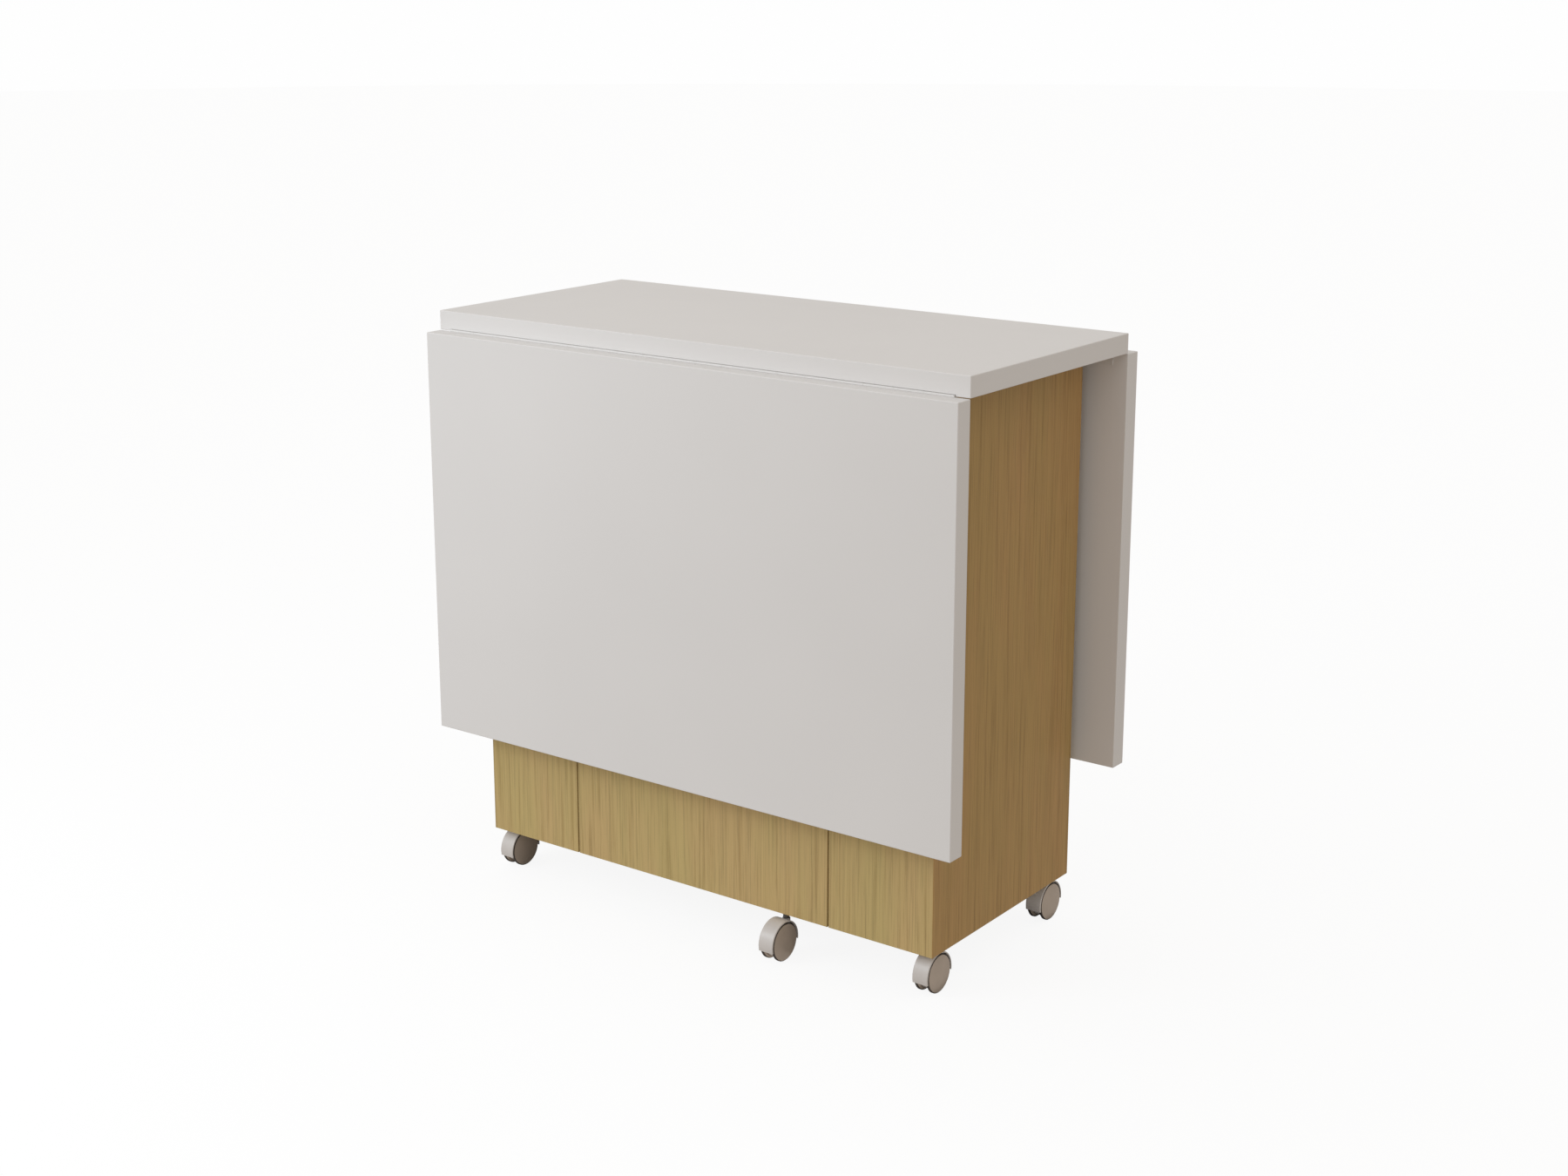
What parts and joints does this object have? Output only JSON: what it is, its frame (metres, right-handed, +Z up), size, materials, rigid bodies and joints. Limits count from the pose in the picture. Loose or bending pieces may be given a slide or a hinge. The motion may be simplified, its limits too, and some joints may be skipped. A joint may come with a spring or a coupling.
{
  "type": "gateleg table",
  "caption": "Drop-leaf gateleg table: a narrow closed cabinet on twin-wheel castors, a fixed top, two hanging leaves and swinging gates that carry them.",
  "frame": {"origin": "on the floor under the middle of the table, at the bottom centre of its box with both leaves hanging", "axes": "+X along the table's length, +Z up, the front leaf towards -Y"},
  "size_m": [0.8, 0.41, 0.758],
  "materials": {
    "grey_laminate": "matt warm-grey laminate on board",
    "oak_laminate": "matt light oak laminate, straight upright grain",
    "beech": "plain beech",
    "zinc_steel": "dull zinc plate",
    "pale_hinge_metal": "pale grey powder coat",
    "castor_hood_plastic": "satin warm-grey moulding",
    "castor_wheel_plastic": "satin taupe moulding with a darker tread",
    "rubber": "matt black rubber"
  },
  "bodies": {
    "cabinet": {"base_panel": "oak_laminate", "cabinet_dowels": "beech", "corner_castor_stems": "zinc_steel", "front_hinge_top_wing": "pale_hinge_metal", "front_left_stile": "oak_laminate", "front_right_stile": "oak_laminate", "front_top_rail": "oak_laminate", "gate_hinge_fixed_wings": "zinc_steel", "gate_hinge_pins": "zinc_steel", "gate_hinge_stile_screws": "zinc_steel", "leaf_bumpers": "rubber", "leaf_hinge_pins": "pale_hinge_metal", "left_end_panel": "oak_laminate", "rear_hinge_top_wing": "pale_hinge_metal", "rear_left_stile": "oak_laminate", "rear_right_stile": "oak_laminate", "rear_top_rail": "oak_laminate", "right_end_panel": "oak_laminate", "spine_panel": "oak_laminate", "table_top": "grey_laminate", "top_wing_screws": "zinc_steel"},
    "front_leaf": {"front_leaf": "grey_laminate", "front_hinge_leaf_wing": "pale_hinge_metal", "front_leaf_wing_screws": "zinc_steel"},
    "front_gate": {"front_gate": "oak_laminate", "front_gate_hinge_wings": "zinc_steel", "front_gate_hinge_screws": "zinc_steel", "front_gate_castor_stem": "zinc_steel"},
    "rear_leaf": {"rear_leaf": "grey_laminate", "rear_hinge_leaf_wing": "pale_hinge_metal", "rear_leaf_wing_screws": "zinc_steel"},
    "rear_gate": {"rear_gate": "oak_laminate", "rear_gate_hinge_wings": "zinc_steel", "rear_gate_hinge_screws": "zinc_steel", "rear_gate_castor_stem": "zinc_steel"},
    "front_left_castor": {"front_left_castor_hood": "castor_hood_plastic", "front_left_castor_axle": "zinc_steel"},
    "front_left_left_wheel": {"front_left_castor_left_wheel": "castor_wheel_plastic"},
    "front_left_right_wheel": {"front_left_castor_right_wheel": "castor_wheel_plastic"},
    "front_right_castor": {"front_right_castor_hood": "castor_hood_plastic", "front_right_castor_axle": "zinc_steel"},
    "front_right_left_wheel": {"front_right_castor_left_wheel": "castor_wheel_plastic"},
    "front_right_right_wheel": {"front_right_castor_right_wheel": "castor_wheel_plastic"},
    "rear_left_castor": {"rear_left_castor_hood": "castor_hood_plastic", "rear_left_castor_axle": "zinc_steel"},
    "rear_left_left_wheel": {"rear_left_castor_left_wheel": "castor_wheel_plastic"},
    "rear_left_right_wheel": {"rear_left_castor_right_wheel": "castor_wheel_plastic"},
    "rear_right_castor": {"rear_right_castor_hood": "castor_hood_plastic", "rear_right_castor_axle": "zinc_steel"},
    "rear_right_left_wheel": {"rear_right_castor_left_wheel": "castor_wheel_plastic"},
    "rear_right_right_wheel": {"rear_right_castor_right_wheel": "castor_wheel_plastic"},
    "front_gate_castor": {"front_gate_castor_hood": "castor_hood_plastic", "front_gate_castor_axle": "zinc_steel"},
    "front_gate_left_wheel": {"front_gate_castor_left_wheel": "castor_wheel_plastic"},
    "front_gate_right_wheel": {"front_gate_castor_right_wheel": "castor_wheel_plastic"},
    "rear_gate_castor": {"rear_gate_castor_hood": "castor_hood_plastic", "rear_gate_castor_axle": "zinc_steel"},
    "rear_gate_left_wheel": {"rear_gate_castor_left_wheel": "castor_wheel_plastic"},
    "rear_gate_right_wheel": {"rear_gate_castor_right_wheel": "castor_wheel_plastic"}
  },
  "joints": [
    {"name": "front_gate_hinge", "type": "hinge", "parent": "cabinet", "child": "front_gate", "pos_m": [-0.2, -0.1625, 0.4], "axis": [0, 0, -1], "range_deg": [0, 2.5]},
    {"name": "front_leaf_hinge", "type": "hinge", "parent": "cabinet", "child": "front_leaf", "pos_m": [0, -0.18, 0.733], "axis": [-1, 0, 0], "range_deg": [0, 90]},
    {"name": "rear_gate_hinge", "type": "hinge", "parent": "cabinet", "child": "rear_gate", "pos_m": [0.2, 0.1625, 0.4], "axis": [0, 0, -1], "range_deg": [0, 2.5]},
    {"name": "rear_leaf_hinge", "type": "hinge", "parent": "cabinet", "child": "rear_leaf", "pos_m": [0, 0.18, 0.733], "axis": [1, 0, 0], "range_deg": [0, 90]},
    {"name": "swivel_front_gate_castor", "type": "hinge", "parent": "front_gate", "child": "front_gate_castor", "pos_m": [0.132, -0.15215, 0.043], "axis": [0, 0, 1], "continuous": true},
    {"name": "swivel_front_left_castor", "type": "hinge", "parent": "cabinet", "child": "front_left_castor", "pos_m": [-0.332, -0.115, 0.043], "axis": [0, 0, 1], "continuous": true},
    {"name": "swivel_front_right_castor", "type": "hinge", "parent": "cabinet", "child": "front_right_castor", "pos_m": [0.332, -0.115, 0.043], "axis": [0, 0, 1], "continuous": true},
    {"name": "swivel_rear_gate_castor", "type": "hinge", "parent": "rear_gate", "child": "rear_gate_castor", "pos_m": [-0.132, 0.15215, 0.043], "axis": [0, 0, 1], "continuous": true},
    {"name": "swivel_rear_left_castor", "type": "hinge", "parent": "cabinet", "child": "rear_left_castor", "pos_m": [-0.332, 0.149, 0.043], "axis": [0, 0, 1], "continuous": true},
    {"name": "swivel_rear_right_castor", "type": "hinge", "parent": "cabinet", "child": "rear_right_castor", "pos_m": [0.332, 0.149, 0.043], "axis": [0, 0, 1], "continuous": true},
    {"name": "wheel_front_gate_left", "type": "hinge", "parent": "front_gate_castor", "child": "front_gate_left_wheel", "pos_m": [0.1235, -0.16845, 0.024], "axis": [1, 0, 0], "continuous": true},
    {"name": "wheel_front_gate_right", "type": "hinge", "parent": "front_gate_castor", "child": "front_gate_right_wheel", "pos_m": [0.1405, -0.16845, 0.024], "axis": [1, 0, 0], "continuous": true},
    {"name": "wheel_front_left_left", "type": "hinge", "parent": "front_left_castor", "child": "front_left_left_wheel", "pos_m": [-0.3405, -0.1313, 0.024], "axis": [1, 0, 0], "continuous": true},
    {"name": "wheel_front_left_right", "type": "hinge", "parent": "front_left_castor", "child": "front_left_right_wheel", "pos_m": [-0.3235, -0.1313, 0.024], "axis": [1, 0, 0], "continuous": true},
    {"name": "wheel_front_right_left", "type": "hinge", "parent": "front_right_castor", "child": "front_right_left_wheel", "pos_m": [0.3235, -0.1313, 0.024], "axis": [1, 0, 0], "continuous": true},
    {"name": "wheel_front_right_right", "type": "hinge", "parent": "front_right_castor", "child": "front_right_right_wheel", "pos_m": [0.3405, -0.1313, 0.024], "axis": [1, 0, 0], "continuous": true},
    {"name": "wheel_rear_gate_left", "type": "hinge", "parent": "rear_gate_castor", "child": "rear_gate_left_wheel", "pos_m": [-0.1405, 0.13585, 0.024], "axis": [1, 0, 0], "continuous": true},
    {"name": "wheel_rear_gate_right", "type": "hinge", "parent": "rear_gate_castor", "child": "rear_gate_right_wheel", "pos_m": [-0.1235, 0.13585, 0.024], "axis": [1, 0, 0], "continuous": true},
    {"name": "wheel_rear_left_left", "type": "hinge", "parent": "rear_left_castor", "child": "rear_left_left_wheel", "pos_m": [-0.3405, 0.1327, 0.024], "axis": [1, 0, 0], "continuous": true},
    {"name": "wheel_rear_left_right", "type": "hinge", "parent": "rear_left_castor", "child": "rear_left_right_wheel", "pos_m": [-0.3235, 0.1327, 0.024], "axis": [1, 0, 0], "continuous": true},
    {"name": "wheel_rear_right_left", "type": "hinge", "parent": "rear_right_castor", "child": "rear_right_left_wheel", "pos_m": [0.3235, 0.1327, 0.024], "axis": [1, 0, 0], "continuous": true},
    {"name": "wheel_rear_right_right", "type": "hinge", "parent": "rear_right_castor", "child": "rear_right_right_wheel", "pos_m": [0.3405, 0.1327, 0.024], "axis": [1, 0, 0], "continuous": true}
  ]
}
